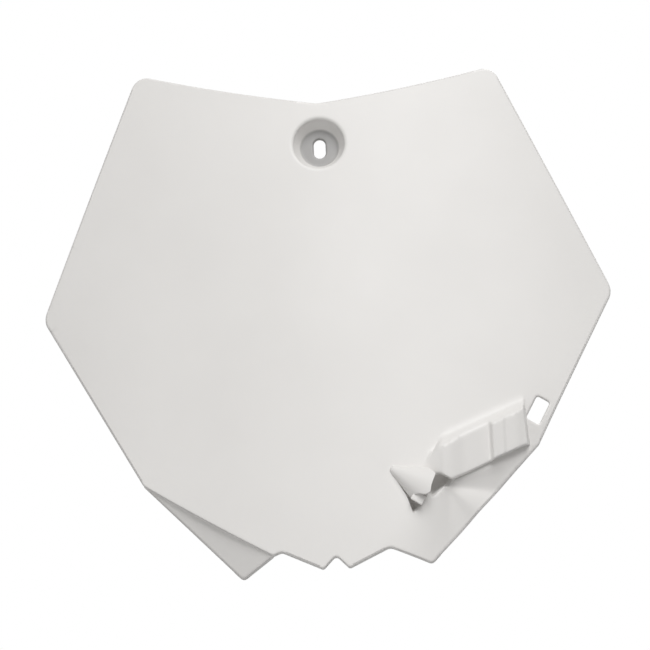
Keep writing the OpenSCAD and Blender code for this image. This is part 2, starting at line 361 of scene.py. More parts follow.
@dataclass(frozen=True)
class HoseGuide:
    """The fluted band with its roof and ends, and the right flap with the scoop behind the mouth.

    Places and lines are given from the guide's corner.
    """

    corners: Corners
    bend: Bend
    length: float = 42.4
    rise: float = 19.0  # of the band, towards its right end
    proud: float = 5.4  # how far the band stands out
    flute: float = 1.6
    # each step along the band: its share of the flute, its start and its run along X
    flutes: tuple[Triple, ...] = ((-1.3, 4.0, 9.0), (1.8, 24.0, 2.8), (-0.35, 31.0, 1.6), (-0.7, 37.0, 6.0))
    # stretches of close mesh columns along the band: start, end and step
    columns: tuple[Triple, ...] = ((23.2, 29.0, 0.45), (30.6, 33.2, 0.45), (39.6, 45.0, 0.5))
    lean: float = 0.15  # how much the band leans back towards its foot
    roof: float = 5.8  # run of the roof that sweeps up to it
    roof_bow: float = 1.5  # exponent of that sweep
    crest: float = 0.35  # how fast the roof's surface runs on behind the face above it
    flank: float = 8.0  # run of the band's left end
    flank_line: Line = ((-9.1, -8.8), (-2.1, 0.9))  # where the flank leaves the face
    flank_slope: float = -3.0
    end_slope: float = -5.0
    soft: float = 0.9  # width of the soft turns between the band's faces
    foot_soft: float = 0.9  # the same, from the face into the band
    apex: Place = (2.0, -17.0)  # where the right flap fans out from
    hinge: Line = ((-2.0, -7.0), (55.0, 19.0))  # where the right flap folds back
    fold: float = 0.29  # slope of the right flap
    # directions between which the flap fans out, each with the turn over which it fades
    fan: tuple[Place, Place] = ((-150.0, 95.0), (150.0, 60.0))
    fold_soft: float = 1.4  # the same, from the face into the flap
    ridge: float = 2.3  # height of the soft ridges that fan out over the right flap
    ridge_start: float = 20.0  # distance from the apex over which they grow
    ridge_end: Place = (46.0, 24.0)  # distance from the apex at which they end, and over which they fade
    # direction and width of each ridge or hollow, and its share of the height; ridges are negative
    waves: tuple[Triple, ...] = ((-84, 16, 0.4), (-40, 18, -1.0), (-6, 10, 0.6), (22, 9, -0.9))
    # corners of the scoop's edge: low end, right end, left end and knee
    mouth: tuple[Place, ...] = ((-14.2, -31.3), (4.6, -17.0), (-22.3, -12.69), (-16.8, -23.0))
    scoop: float = 12.0  # depth of the scoop
    scoop_runs: tuple[float, float] = (5.0, 1.6)  # runs of the scoop's wall on the right and on the left
    # length, place and width of the tongue of the flap that runs on into the scoop
    scoop_tongue: Triple = (2.6, -7.0, 1.6)

    def folds(self, x: Array, z: Array) -> Array:
        """Measures the face with the right flap, which fans back from the apex.

        Args:
            x: The places' X.
            z: Their Z.

        Returns:
            The depth at each place.
        """
        c = self.corners
        (ax, az), = c.by_guide(self.apex)
        swept = self.bend.fold(*c.by_guide(*self.hinge), slope=self.fold)(x, z) - self.bend.sag(x)
        r, turn = np.hypot(x - ax, z - az), np.degrees(np.arctan2(z - az, x - ax))
        (first, fade_in), (last, fade_out), (reach, fade) = *self.fan, self.ridge_end
        fan = ease((turn - first) / fade_in) * ease((last - turn) / fade_out)
        waves = sum(share * np.exp(-np.square((turn - middle) / wide)) for middle, wide, share in self.waves)
        grown = self.ridge * np.tanh(r / self.ridge_start) * ease((reach - r) / fade) * ease((swept + 1) / 3)
        return self.bend.sag(x) + fan * soft_max(swept, 0 * x, self.fold_soft) + grown * waves

    def channel(self, x: Array, z: Array) -> Array:
        """Measures the right flap, which dives into the scoop behind the mouth.

        Args:
            x: The places' X.
            z: Their Z.

        Returns:
            The depth at each place.
        """
        low, right, left, knee = map(np.array, self.corners.by_guide(*self.mouth))
        reach, place, wide = self.scoop_tongue
        u = x - self.corners.guide[0]
        into = beyond(low, right, x, z) - reach * np.exp(-np.square((u - place) / wide))
        beside = np.maximum(-beyond(low, knee, x, z), -beyond(knee, left, x, z))
        into_run, beside_run = self.scoop_runs
        return self.folds(x, z) + self.scoop * ease(np.minimum(into / into_run, beside / beside_run))

    def out(self, u: Array) -> Array:
        """Measures the band's flutes.

        Args:
            u: Distances along the band.

        Returns:
            How far it stands out at each.
        """
        out = self.proud * np.minimum(1, (u + self.flank) / (self.flank + 1.5))
        for share, start, run in self.flutes:
            out = out + share * self.flute * ease((u - start) / run)
        return out

    def raised(self, x: Array, z: Array) -> Array:
        """Measures the band and its slopes.

        Args:
            x: The places' X.
            z: Their Z.

        Returns:
            The depth at each place.
        """
        c, n = self.corners, self.bend
        tilt = math.atan(self.rise / self.length)
        above = (z - c.guide[1]) * math.cos(tilt) - (x - c.guide[0]) * math.sin(tilt)
        sweep = 1 - above / self.roof
        up = self.proud * np.power(np.maximum(sweep, 0), self.roof_bow)
        roof = n.sag(x) - up + self.crest * np.maximum(-sweep, 0) * self.roof
        flank = n.fold(*c.by_guide(*self.flank_line), slope=self.flank_slope)
        end_line = c.by_guide((self.length + 0.2, self.rise + 1), (self.length + 0.9, 2))
        end = n.fold(*end_line, slope=self.end_slope)
        top = n.sag(x) - self.out(x - c.guide[0]) + self.lean * np.maximum(-above, 0)
        return soft_max(soft_max(soft_max(top, roof, self.soft), flank(x, z), self.soft), end(x, z), self.soft)

    def face(self, x: Array, z: Array) -> Array:
        """Measures the face or the band, whichever is in front.

        Args:
            x: The places' X.
            z: Their Z.

        Returns:
            The depth at each place.
        """
        u, v = x - self.corners.guide[0], z - self.corners.guide[1]
        # below the mouth's edge the band is moved far behind the face
        gone = np.where((v < -13.2 - 0.55 * np.maximum(0, u + 0.4)) & (u < 5.5), 50.0, 0.0)
        return -soft_max(-self.folds(x, z), -self.raised(x, z) - gone, self.foot_soft)

    def spots(self) -> Array:
        """Returns mesh places in close columns along the flutes' steep sides."""
        g = self.corners.guide
        u = np.concatenate([np.arange(start, end, step) for start, end, step in self.columns])
        x, z = np.meshgrid(g[0] + u, np.arange(g[1] - 16, g[1] + 26, 0.9))
        return np.column_stack([x.ravel(), z.ravel()])

    def scoop_spots(self) -> Array:
        """Returns mesh places in close rows along the start of the scoop."""
        low, right = map(np.array, self.corners.by_guide(*self.mouth[:2]))
        along = unit(right - low)
        inward = np.array([-along[1], along[0]])
        t, s = np.meshgrid(np.arange(-1.0, 27.0, 0.7), np.arange(0.5, 7.0, 0.55))
        return low + t.ravel()[:, None] * along + s.ravel()[:, None] * inward


@dataclass(frozen=True)
class Funnel:
    """The cone beside the band, of which the part over a given area stands out of the board."""

    tip: Place = (-22.4, -9.6)  # its blunt end, from the guide's corner
    area: tuple[Place, ...] = (  # the part that is kept, from the guide's corner
        (-29, -4), (-6.5, -8.4), (-2.4, -13.4), (-4.6, -19), (-5.4, -22.6),
        (-7.8, -23.6), (-11.6, -22.4), (-15.2, -23.6), (-29, -19),
    )
    lean: float = 30.0  # how far its axis points down
    half: float = 25.0  # half of its opening angle
    length: float = 26.0
    wall: float = 1.8
    blunt: float = 2.0  # radius of its tip, more than the wall
    flat: float = 0.86  # its height off the board as a share of its half width
    rows: int = 44  # strips round it
    cap: int = 10  # mesh places along the round of the tip
    side: int = 25  # mesh places along the side
    fine: int = 240  # places along the side that are tried against the area

    def tracks(self, skin: float) -> tuple[Array, Array]:
        """Draws the cone's profile.

        Args:
            skin: Depth below its outer surface.

        Returns:
            Distances along the axis and away from it.
        """
        half, r = math.radians(self.half), self.blunt - skin
        round_tip = np.linspace(-math.pi / 2, -half, self.cap)
        side = np.linspace(0.1, self.length, self.fine)
        reach = np.concatenate([r * np.sin(round_tip), -r * math.sin(half) + side * math.cos(half)])
        wide = np.concatenate([r * np.cos(round_tip), r * math.cos(half) + side * math.sin(half)])
        return reach, wide


@dataclass(frozen=True)
class LatchTab:
    """The small block on the funnel's lower end."""

    middle: Place = (-11.3, -24.4)  # its middle, from the guide's corner
    size: Triple = (6.2, 1.8, 4.6)  # width, thickness and height
    turn: float = 33.0  # in the front view
    proud: float = 3.8  # how far its middle stands in front of the bend's foremost line
    bevel: float = 0.45  # width of its rounded edges


@dataclass
class Sheet:
    """A moulded sheet over a region of the front view, with rounded free edges."""

    border: list[tuple[Array, EdgeKind]]  # stretches in order, each with its kind
    front: Depth
    back: Depth
    holes: list[Array] = field(default_factory=list)
    spots: Array = field(default_factory=lambda: np.zeros((0, 2)))  # more places that the mesh passes through
    coarse: float = 4.0  # mesh spacing on plain areas
    fine: float = 1.3  # mesh spacing in the fine box
    # left, right, bottom and top
    fine_box: tuple[float, float, float, float] = (24.0, 106.0, -206.0, -124.0)
    edge: float = 1.0  # radius of the front edge
    back_edge: float = 0.6  # radius of the back edge
    calm: Place = (0.0, 0.0)  # where the edges stay sharp, because the next sheet goes on

    def loop(self) -> Array:
        """Returns the whole border as one closed loop."""
        return np.concatenate([line[:-1] for line, _ in self.border])

    def free_lines(self) -> list[Array]:
        """Returns every free stretch of the border and of the holes."""
        lines = [line for line, kind in self.border if kind is EdgeKind.FREE]
        return lines + [np.vstack([hole, hole[:1]]) for hole in self.holes]

    def covered(self, points: Array) -> Array:
        """Tells which points lie in the border and in no hole.

        Args:
            points: Array of places.

        Returns:
            One truth value for each point.
        """
        keep = inside(points, self.loop())
        for hole in self.holes:
            keep &= ~inside(points, hole)
        return keep

    def grid(self) -> Array:
        """Returns the inner points of the mesh, clear of the rings along its edges."""
        loop = self.loop()
        low, high = loop.min(0), loop.max(0)
        left, right, bottom, top = self.fine_box
        layers = []
        for step, is_fine in ((self.coarse, False), (self.fine, True)):
            rows = []
            for k, z in enumerate(np.arange(low[1], high[1], step * ROW)):
                x = np.arange(low[0] + (k % 2) * step / 2, high[0], step)
                rows.append(np.column_stack([x, np.full(len(x), z)]))
            p = np.concatenate(rows)
            boxed = (p[:, 0] > left) & (p[:, 0] < right) & (p[:, 1] > bottom) & (p[:, 1] < top)
            layers.append(p[boxed if is_fine else ~boxed])
        points = np.concatenate(layers)
        points = points[inside(points, loop)]
        every_line = self.free_lines() + [line for line, _ in self.border]
        return points[distance(points, every_line) > self.edge + CLEAR]

    def rings(self) -> Array:
        """Returns points in rings beside the free edges, where the edge turns over."""
        rings, free = [], self.free_lines()
        for share in RINGS:
            away = self.edge * share
            for line in free:
                d = np.diff(line, axis=0)
                size = np.maximum(np.linalg.norm(d, axis=1), 1e-9)
                n = np.column_stack([-d[:, 1], d[:, 0]]) / size[:, None]
                middle = (line[:-1] + line[1:]) / 2
                for side in (-1, 1):
                    p = middle + side * away * n
                    p = p[self.covered(p)]
                    rings.append(p[distance(p, free) > away - 0.03])
        return np.concatenate(rings)

    def triangles(self) -> tuple[Array, Array]:
        """Returns the mesh's places in the front view, and its triangles, which all turn the same way."""
        count, edges, points = 0, [], []
        for ring in [self.loop(), *self.holes]:
            points.append(ring)
            edges += [(count + i, count + (i + 1) % len(ring)) for i in range(len(ring))]
            count += len(ring)
        inner = np.concatenate([self.grid(), self.rings(), self.spots])
        every = np.concatenate([*points, inner[self.covered(inner)]])
        verts, _, tris, *_ = delaunay_2d_cdt([Vector(p) for p in every], edges, [], 0, 1e-5)
        places = np.array([(v[0], v[1]) for v in verts])
        tris = np.array([t for t in tris if len(t) == 3])
        tris = tris[self.covered(places[tris].mean(axis=1))]
        a = places[tris[:, 0]]
        u, w = places[tris[:, 1]] - a, places[tris[:, 2]] - a
        area = u[:, 0] * w[:, 1] - u[:, 1] * w[:, 0]
        return places, np.where((area < 0)[:, None], tris[:, ::-1], tris)[np.abs(area) > 1e-7]

    def turned(self, places: Array, off: Array, radius: float) -> Array:
        """Returns how far places that lie off from a free edge fall away where it turns over at a radius."""
        back_in = ease(np.hypot(places[:, 0] - self.calm[0], places[:, 1] - self.calm[1]) / CALM)
        return back_in * (radius - np.sqrt(np.maximum(0, radius**2 - np.square(np.maximum(0, radius - off)))))

    def mesh(self, flat: Bend) -> tuple[list[Triple], list[Face]]:
        """Builds the closed sheet.

        Args:
            flat: The bend that is taken out again, so that the mesh lies flat before it is bent.

        Returns:
            The mesh's vertices in metres, and its faces.
        """
        places, tris = self.triangles()
        x, z = places[:, 0], places[:, 1]
        free = self.free_lines()
        off = distance(places, free)
        front = self.front(x, z) + self.turned(places, off, self.edge) - flat.sag(x)
        back = self.back(x, z) - self.turned(places, off, self.back_edge) - flat.sag(x)
        n = len(places)
        y = np.concatenate([front, back]) + flat.front
        coords = np.column_stack([np.tile(x, 2), y, np.tile(z, 2)]) * MM
        faces = [tuple(t) for t in tris] + [tuple(t[::-1] + n) for t in tris]
        used = {(int(t[i]), int(t[(i + 1) % 3])) for t in tris for i in range(3)}
        for p, q in sorted(used):
            if (q, p) not in used and distance((places[[p]] + places[[q]]) / 2, free)[0] < 1e-3:
                faces.append((q, p, p + n, q + n))
        return [tuple(v) for v in coords], faces


# ---- node trees


class Graph:
    """Short ways to add and join the nodes of a tree."""

    def __init__(self, tree: bpy.types.NodeTree) -> None:
        """Takes the tree that is built."""
        self.tree = tree

    def feed(self, node: bpy.types.Node, inputs: dict[str | int, object]) -> None:
        """Joins a socket to each named input of a node, or sets its value.

        Args:
            node: The node.
            inputs: Socket or value of each input, by its name or number.
        """
        for key, value in inputs.items():
            if isinstance(value, Socket):
                self.tree.links.new(value, node.inputs[key])
            else:
                node.inputs[key].default_value = value

    def node(self, kind: str, inputs: dict[str | int, object] | None = None, **values: object) -> bpy.types.Node:
        """Adds a node.

        Args:
            kind: Type of the node.
            inputs: Socket or value of each input, by its name or number.
            values: Properties of the node.

        Returns:
            The new node.
        """
        new = self.tree.nodes.new(kind)
        for key, value in values.items():
            setattr(new, key, value)
        self.feed(new, inputs or {})
        return new

    def math(self, operation: str, *inputs: object) -> Socket:
        """Adds a math node and returns its result."""
        return self.node("ShaderNodeMath", dict(enumerate(inputs)), operation=operation).outputs[0]


class RuleTree(Graph):
    """A geometry node tree that ends in realized instances and a material."""

    def __init__(self, name: str, inputs: Sequence[tuple[str, str]]) -> None:
        """Starts a tree.

        Args:
            name: Name of the tree.
            inputs: Pairs of an input's name and its socket type.
        """
        super().__init__(bpy.data.node_groups.new(name, "GeometryNodeTree"))
        self.sockets: dict[str, str] = {}
        for title, kind in [("Geometry", "NodeSocketGeometry"), *inputs, ("Finish", "NodeSocketMaterial")]:
            item = self.tree.interface.new_socket(title, in_out="INPUT", socket_type=kind)
            self.sockets[title] = item.identifier
        self.tree.interface.new_socket("Geometry", in_out="OUTPUT", socket_type="NodeSocketGeometry")
        self.given = self.node("NodeGroupInput").outputs

    def finish(self, geometry: Socket) -> None:
        """Ends the tree.

        Args:
            geometry: What is realized and gets the material.
        """
        real = self.node("GeometryNodeRealizeInstances", {"Geometry": geometry}).outputs["Geometry"]
        dress = self.node("GeometryNodeSetMaterial", {"Geometry": real, "Material": self.given["Finish"]})
        self.node("NodeGroupOutput", {"Geometry": dress.outputs["Geometry"]})

    def apply(self, piece: bpy.types.Object, values: dict[str, object]) -> None:
        """Runs the tree on a piece and keeps the plain mesh.

        Args:
            piece: The piece.
            values: Value of each named input.
        """
        modifier = piece.modifiers.new(self.tree.name, "NODES")
        modifier.node_group = self.tree
        for title, value in values.items():
            modifier[self.sockets[title]] = value
        bpy.context.view_layer.update()
        graph = bpy.context.evaluated_depsgraph_get()
        result = bpy.data.meshes.new_from_object(piece.evaluated_get(graph))
        piece.modifiers.clear()
        piece.data = result
        result.name = piece.name


class BendTree(RuleTree):
    """Bends a flat piece to the board's upright cylinder."""

    def __init__(self) -> None:
        """Builds the tree: each point moves back by the bend's sag at its X."""
        super().__init__("bend_to_radius", [("Radius", "NodeSocketFloat")])
        place = self.node("GeometryNodeInputPosition").outputs[0]
        x = self.node("ShaderNodeSeparateXYZ", {0: place}).outputs[0]
        radius = self.given["Radius"]
        inner = self.math("SUBTRACT", self.math("MULTIPLY", radius, radius), self.math("POWER", x, 2.0))
        sag = self.math("SUBTRACT", radius, self.math("SQRT", inner))
        push = self.node("ShaderNodeCombineXYZ", {"Y": sag}).outputs[0]
        move = self.node("GeometryNodeSetPosition", {"Geometry": self.given["Geometry"], "Offset": push})
        self.finish(move.outputs["Geometry"])


class LipTree(RuleTree):
    """Grows a lip of even wall backwards from a line, by the depth kept on each of its points."""

    WELD = 0.00002  # metres

    def __init__(self) -> None:
        """Builds the tree: the line is drawn back along Y, then thickened across."""
        super().__init__("lip_from_line", [("Wall", "NodeSocketFloat")])
        reach, across = (
            self.node("GeometryNodeInputNamedAttribute", {"Name": name}, data_type=kind).outputs[0]
            for name, kind in (("reach", "FLOAT"), ("across", "FLOAT_VECTOR"))
        )
        back = self.node("ShaderNodeCombineXYZ", {"Y": reach}).outputs[0]
        drawn = {"Mesh": self.given["Geometry"], "Offset": back}
        strip = self.node("GeometryNodeExtrudeMesh", drawn, mode="EDGES").outputs["Mesh"]
        grown = {"Individual": False, "Mesh": strip, "Offset": across, "Offset Scale": self.given["Wall"]}
        thick = self.node("GeometryNodeExtrudeMesh", grown, mode="FACES").outputs["Mesh"]
        both = self.node("GeometryNodeJoinGeometry", {"Geometry": thick})
        self.feed(both, {"Geometry": self.node("GeometryNodeFlipFaces", {"Mesh": strip}).outputs["Mesh"]})
        whole = {"Geometry": both.outputs["Geometry"], "Distance": self.WELD}
        self.finish(self.node("GeometryNodeMergeByDistance", whole).outputs["Geometry"])


# ---- finish


@dataclass(frozen=True)
class MouldedPlastic:
    """Smooth off-white moulded plastic, with painted shade on the screw cup's floor. Colours are linear, and lengths
    in metres.
    """

    name: str = "board_plastic"
    color: Triple = (0.80, 0.785, 0.765)
    shade: Triple = (0.765, 0.75, 0.73)  # faintly darker flow marks
    rough: float = 0.42
    rough_spread: tuple[float, float] = (-0.04, 0.07)  # what the flow marks add
    grain: float = 0.00004  # height of the fine surface waviness
    seat_shade: Triple = (0.34, 0.335, 0.33)  # painted shade on the floor of the screw cup, standing for the shadow in the cup
    seat_shade_radius: float = 0.0092  # where that painted shade begins to fade, from the origin
    seat_shade_fade: float = 0.0018  # over which it fades
    seat_shade_front: float = -0.0012  # the painted shade is seen in front of this Y

    def build(self) -> bpy.types.Material:
        """Builds the node material and returns it."""
        mat = bpy.data.materials.new(self.name)
        mat.use_nodes = True
        graph = Graph(mat.node_tree)
        place = graph.node("ShaderNodeTexCoord").outputs["Object"]
        flow, wave = (
            graph.node("ShaderNodeTexNoise", {"Vector": place, "Scale": scale, "Detail": detail}).outputs["Fac"]
            for scale, detail in ((14.0, 3.0), (220.0, 2.0))
        )
        spread = graph.node("ShaderNodeMapRange", {"Value": flow, "From Min": 0.35, "From Max": 0.75})
        flowing = {"Factor": spread.outputs["Result"], "A": (*self.color, 1), "B": (*self.shade, 1)}
        tint = graph.node("ShaderNodeMix", flowing, data_type="RGBA").outputs["Result"]
        # painted shade: the floor of the screw cup is darkened to stand for the shadow that falls in the cup
        away = graph.node("ShaderNodeVectorMath", {0: place}, operation="LENGTH").outputs["Value"]
        ends = {"From Min": self.seat_shade_radius, "From Max": self.seat_shade_radius + self.seat_shade_fade}
        fade = {"Value": away, **ends, "To Min": 1.0, "To Max": 0.0}
        near = graph.node("ShaderNodeMapRange", fade, interpolation_type="SMOOTHSTEP").outputs["Result"]
        y = graph.node("ShaderNodeSeparateXYZ", {0: place}).outputs["Y"]
        seat_shade_mask = graph.math("MULTIPLY", near, graph.math("LESS_THAN", y, self.seat_shade_front))
        painted_seat_shade = {"Factor": seat_shade_mask, "A": tint, "B": (*self.seat_shade, 1)}
        low, high = self.rough_spread
        rough = {"Value": flow, "To Min": self.rough + low, "To Max": self.rough + high}
        bump = {"Height": wave, "Strength": 0.25, "Distance": self.grain}
        surface = {
            "Base Color": graph.node("ShaderNodeMix", painted_seat_shade, data_type="RGBA").outputs["Result"],
            "Roughness": graph.node("ShaderNodeMapRange", rough).outputs["Result"],
            "Normal": graph.node("ShaderNodeBump", bump).outputs["Normal"],
            "IOR": 1.49,
        }
        graph.feed(mat.node_tree.nodes["Principled BSDF"], surface)
        return mat


# ---- pieces


def placed(name: str, data: bpy.types.ID) -> bpy.types.Object:
    """Adds an object to the scene.

    Args:
        name: Its name.
        data: Its mesh, light or camera.

    Returns:
        The object.
    """
    obj = bpy.data.objects.new(name, data)
    bpy.context.scene.collection.objects.link(obj)
    return obj


@dataclass
class Board:
    """The whole moulding: face, right flap, left flap, lips and funnel."""

    corners: Corners
    bend: Bend
    cup: ScrewCup
    guide: HoseGuide
    hole: StrapHole
    plastic: bpy.types.Material
    bend_tree: BendTree
    lip_tree: LipTree
    cone: Funnel = Funnel()
    tab: LatchTab = LatchTab()
    lip: float = 5.0  # depth of the lips behind the edges
    lip_thinner: float = 0.3  # how much thinner the lips are than the sheet
    inset: float = 0.15  # distance from an edge to its lip's outer side
    ledge: float = 1.3  # depth of the left flap behind the face at the ledge
    ledge_bow: float = 0.7  # height of the ledge's arc
    arm_bow: float = 2.2  # height of the arcs between the dip and the ears
    left_fold: float = 0.5  # slope of the left flap

    def outline(self) -> Array:
        """Returns the closed outline of the face, rounded at its corners."""
        c = self.corners
        arm_left = bowed(c.left_ear, c.dip, self.arm_bow)[::-1][:-1]
        arm_right = bowed(c.right_ear, c.dip, -self.arm_bow)[1:]
        ledge = bowed(c.left_knee, c.ledge_end, self.ledge_bow)[1:]
        corners = [(c.dip, 10.0), *((p, 0.0) for p in arm_left)]
        corners += [(c.left_ear, 7.5), (c.left_side, 9.0), (c.left_knee, 7.0)]
        corners += [*((p, 0.0) for p in ledge), *c.lower_edge()]
        corners += [(c.right_knee, 5.0), (c.right_side, 9.0), (c.right_ear, 7.5)]
        corners += [(p, 0.0) for p in arm_right]
        loop = rounded(corners)
        return resampled([*loop, loop[0]], WIDE)

    def mouth(self) -> tuple[list[Place], list[Place], list[Place]]:
        """Returns the scoop's edge, the mouth's edge with the band's foot, and the flap's hidden edge."""
        g = self.corners.by_guide
        low, _, left, knee = g(*self.guide.mouth)
        start, end, top, turn = g((-0.4, -20.78), (-22.75, -11.8), (-14, -11.6), (-0.4, -12.6))
        foot = g((5.2, -15.4), (42.4, 1.5), (44.4, 2.35))
        corners = [(left, 0), (end, 0.4), (top, 3), (turn, 2), (foot[0], 2), (foot[1], 6), (foot[2], 0)]
        behind = g((41.8, 5.0), (6.0, -9.5), (-1, -8), (-13, -9), (-20, -10.6))
        scoop = rounded([(start, 0), (low, 0.8), (knee, 3), (left, 0)], closed=False)
        return scoop, rounded(corners, closed=False), [foot[2], *behind, left]

    def cut_lines(self, loop: Array) -> tuple[int, int, Array, Array]:
        """Finds where the two lines that part the flap from the face meet the outline.

        Args:
            loop: The face's outline.

        Returns:
            Index before each crossing, and the two crossings.
        """
        (sx, sz), a, b = self.corners.by_guide((-0.4, -32.0), (46.4, 3.2), (75, 16))
        first = next(i for i in range(len(loop) - 1) if loop[i][0] < sx <= loop[i + 1][0] and loop[i][1] < sz)
        t = (sx - loop[first][0]) / (loop[first + 1][0] - loop[first][0])
        low = loop[first] + t * (loop[first + 1] - loop[first])
        side = beyond(np.array(a), np.array(b), loop[:, 0], loop[:, 1])
        second = next(i for i in range(first + 1, len(loop) - 1) if side[i] < 0 <= side[i + 1])
        t = side[second] / (side[second] - side[second + 1])
        high = loop[second] + t * (loop[second + 1] - loop[second])
        return first, second, low, high

    def cupped(self, profile: tuple[Array, Array]) -> Depth:
        """Returns the depth of the face with a profile of the cup in it."""
        return lambda x, z: self.guide.face(x, z) + np.interp(np.hypot(x, z), *profile)

    def left_plane(self, gap: float = 0.0) -> Depth:
        """Returns the left flap's plane, moved back by gap."""
        c = self.corners
        return self.bend.fold(c.left_knee, c.ledge_end, self.left_fold, gap=self.ledge + gap)

    def skin(self) -> bpy.types.Object:
        """Builds the face with the band and the right flap as one closed mesh and returns it."""
        free, shared, wall = EdgeKind.FREE, EdgeKind.SHARED, self.bend.wall
        loop = self.outline()
        first, second, low, high = self.cut_lines(loop)
        scoop, on_face, hidden = self.mouth()
        seam = resampled([tuple(low), *scoop], SEAM)
        ridge = resampled([on_face[-1], *self.corners.by_guide((46.4, 3.2)), tuple(high)], SEAM)
        around = np.vstack([high[None], loop[second + 1 :], loop[1 : first + 1], low[None]])
        under = np.vstack([low[None], loop[first + 1 : second + 1], high[None]])
        edge, margin = resampled(on_face, FINE), resampled(hidden, FINE)
        slot = self.cup.slot()
        sheets = [
            Sheet(
                border=[(around, free), (seam, shared), (edge, free), (ridge, shared)],
                holes=[resampled([*slot, slot[0]], FINE)[:-1], self.hole.outline()],
                front=self.cupped(self.cup.front()),
                back=self.cupped(self.cup.back()),
                spots=np.vstack([self.cup.spots(), self.guide.spots()]),
                calm=on_face[-1],
            ),
            Sheet(
                border=[(under, free), (ridge[::-1], shared), (margin, free), (seam[::-1], shared)],
                front=self.guide.channel,
                back=lambda x, z: self.guide.channel(x, z) + wall,
                spots=self.guide.scoop_spots(),
                calm=on_face[-1],
            ),
        ]
        verts: list[Triple] = []
        faces: list[Face] = []
        for sheet in sheets:
            v, f = sheet.mesh(self.bend)
            faces += [tuple(i + len(verts) for i in face) for face in f]
            verts += v
        return self.piece("board_skin", verts, faces, weld=0.000004)

    def left_flap(self) -> bpy.types.Object:
        """Builds the left flap, which hangs behind the ledge, and returns it."""
        c, wall = self.corners, self.bend.wall
        (ex, ez), (kx, kz) = c.ledge_end, c.left_knee
        under_face = [((ex, ez + wall), 0.0), ((kx + wall, kz + wall), 0.0)]
        loop = rounded([(c.left_knee, 0.0), (c.left_point, 2.8), (c.ledge_end, 0.0), *under_face])
        flap = Sheet(
            border=[(resampled([*loop, loop[0]], NARROW), EdgeKind.FREE)],
            front=self.left_plane(),
            back=self.left_plane(wall * 1.18),
            coarse=3.0,
        )
        return self.piece("left_flap", *flap.mesh(self.bend))

    def lip_line(self, name: str, places: Array, start: Depth, end: Depth) -> bpy.types.Object:
        """Grows a lip behind an edge.

        Args:
            name: Name of the piece.
            places: The edge's places in the front view, in order.
            start: Depth at which the lip starts.
            end: Depth at which it ends.

        Returns:
            The lip.
        """
        d = np.gradient(places, axis=0)
        n = np.column_stack([-d[:, 1], d[:, 0]]) / np.linalg.norm(d, axis=1)[:, None]
        line = places + n * self.inset
        x, z = line[:, 0], line[:, 1]
        base = start(x, z)
        mesh = bpy.data.meshes.new(name)
        coords = np.column_stack([x, base - self.bend.sag(x) + self.bend.front, z]) * MM
        mesh.from_pydata([tuple(v) for v in coords], [(i, i + 1) for i in range(len(x) - 1)], [])
        reach = mesh.attributes.new("reach", "FLOAT", "POINT")
        reach.data.foreach_set("value", ((end(x, z) - base) * MM).astype(np.float32))
        across = mesh.attributes.new("across", "FLOAT_VECTOR", "POINT")
        outward = np.column_stack([n[:, 0], 0 * x, n[:, 1]])
        across.data.foreach_set("vector", outward.ravel().astype(np.float32))
        lip = placed(name, mesh)
        wall = (self.bend.wall - self.lip_thinner) * MM
        self.lip_tree.apply(lip, {"Wall": wall, "Finish": self.plastic})
        return self.bent(lip, 25)

    def lips(self) -> None:
        """Builds the lips behind the lower edges and the riser behind the ledge."""
        c, sag, folds = self.corners, self.bend.sag, self.guide.folds
        right_end, left_end = ((50.0, -208.3), 0.0), ((-50.4, -211.2), 0.0)
        lower = rounded([*c.lower_edge(), right_end], closed=False)
        ledge = [*bowed(c.left_knee, c.ledge_end, self.ledge_bow, steps=28)[1:], c.ledge_end]
        inner = rounded([(c.ledge_end, 0.0), (c.left_point, 2.8), left_end], closed=False)[::-1]
        front, back = lambda x, z: folds(x, z) + 1.2, lambda x, z: folds(x, z) + self.lip
        self.lip_line("lower_lip", resampled(lower, NARROW), front, back)
        riser = self.left_plane(self.bend.wall * 0.6)
        self.lip_line("ledge_riser", resampled(ledge, WIDE), lambda x, z: sag(x) + 1.0, riser)
        flap = self.left_plane(1.2), self.left_plane(self.lip + 0.6)
        self.lip_line("flap_lip", resampled(inner, NARROW), *flap)

    def funnel(self) -> bpy.types.Object:
        """Builds the funnel beside the band: a cone's wall cut to its visible part, and returns it."""
        cone, bend = self.cone, self.bend
        tip, = self.corners.by_guide(cone.tip)
        area = np.array(self.corners.by_guide(*cone.area))
        lean = math.radians(cone.lean)
        turn = math.atan(float(bend.sag(tip[0] + 1) - bend.sag(tip[0])))
        along = np.array([math.cos(lean) * math.cos(turn), math.cos(lean) * math.sin(turn), -math.sin(lean)])
        side = unit(np.cross(along, np.array([0.0, -1.0, 0.0])))
        out = np.cross(side, along)
        origin = np.array([tip[0], float(bend.sag(tip[0])), tip[1]])
        verts: list[Triple] = []
        for skin in (0.0, cone.wall):
            reach, wide = cone.tracks(skin)
            for i in range(cone.rows + 1):
                a = math.pi * (-0.05 + 1.1 * i / cone.rows)
                across = math.cos(a) * side + cone.flat * math.sin(a) * out
                track = origin + reach[:, None] * along + wide[:, None] * across
                hit = np.flatnonzero(inside(track[:, [0, 2]], area))
                last = max(int(hit[-1]) if len(hit) else 1, cone.cap + 1)
                for k in np.concatenate([np.arange(cone.cap), np.linspace(cone.cap, last, cone.side)]):
                    low, t = int(k), k - int(k)
                    p = track[low] * (1 - t) + track[min(low + 1, len(track) - 1)] * t
                    verts.append((p[0] * MM, (p[1] - float(bend.sag(p[0])) + bend.front) * MM, p[2] * MM))
        w = cone.cap + cone.side
        n, faces = (cone.rows + 1) * w, []
        for i in range(cone.rows):
            for j in range(w - 1):
                q = (i * w + j, i * w + j + 1, (i + 1) * w + j + 1, (i + 1) * w + j)
                faces += [q, tuple(k + n for k in q[::-1])]
            end, after = (i + 1) * w - 1, (i + 2) * w - 1
            faces.append((end, end + n, after + n, after))
        return self.piece("hose_funnel", verts, faces)

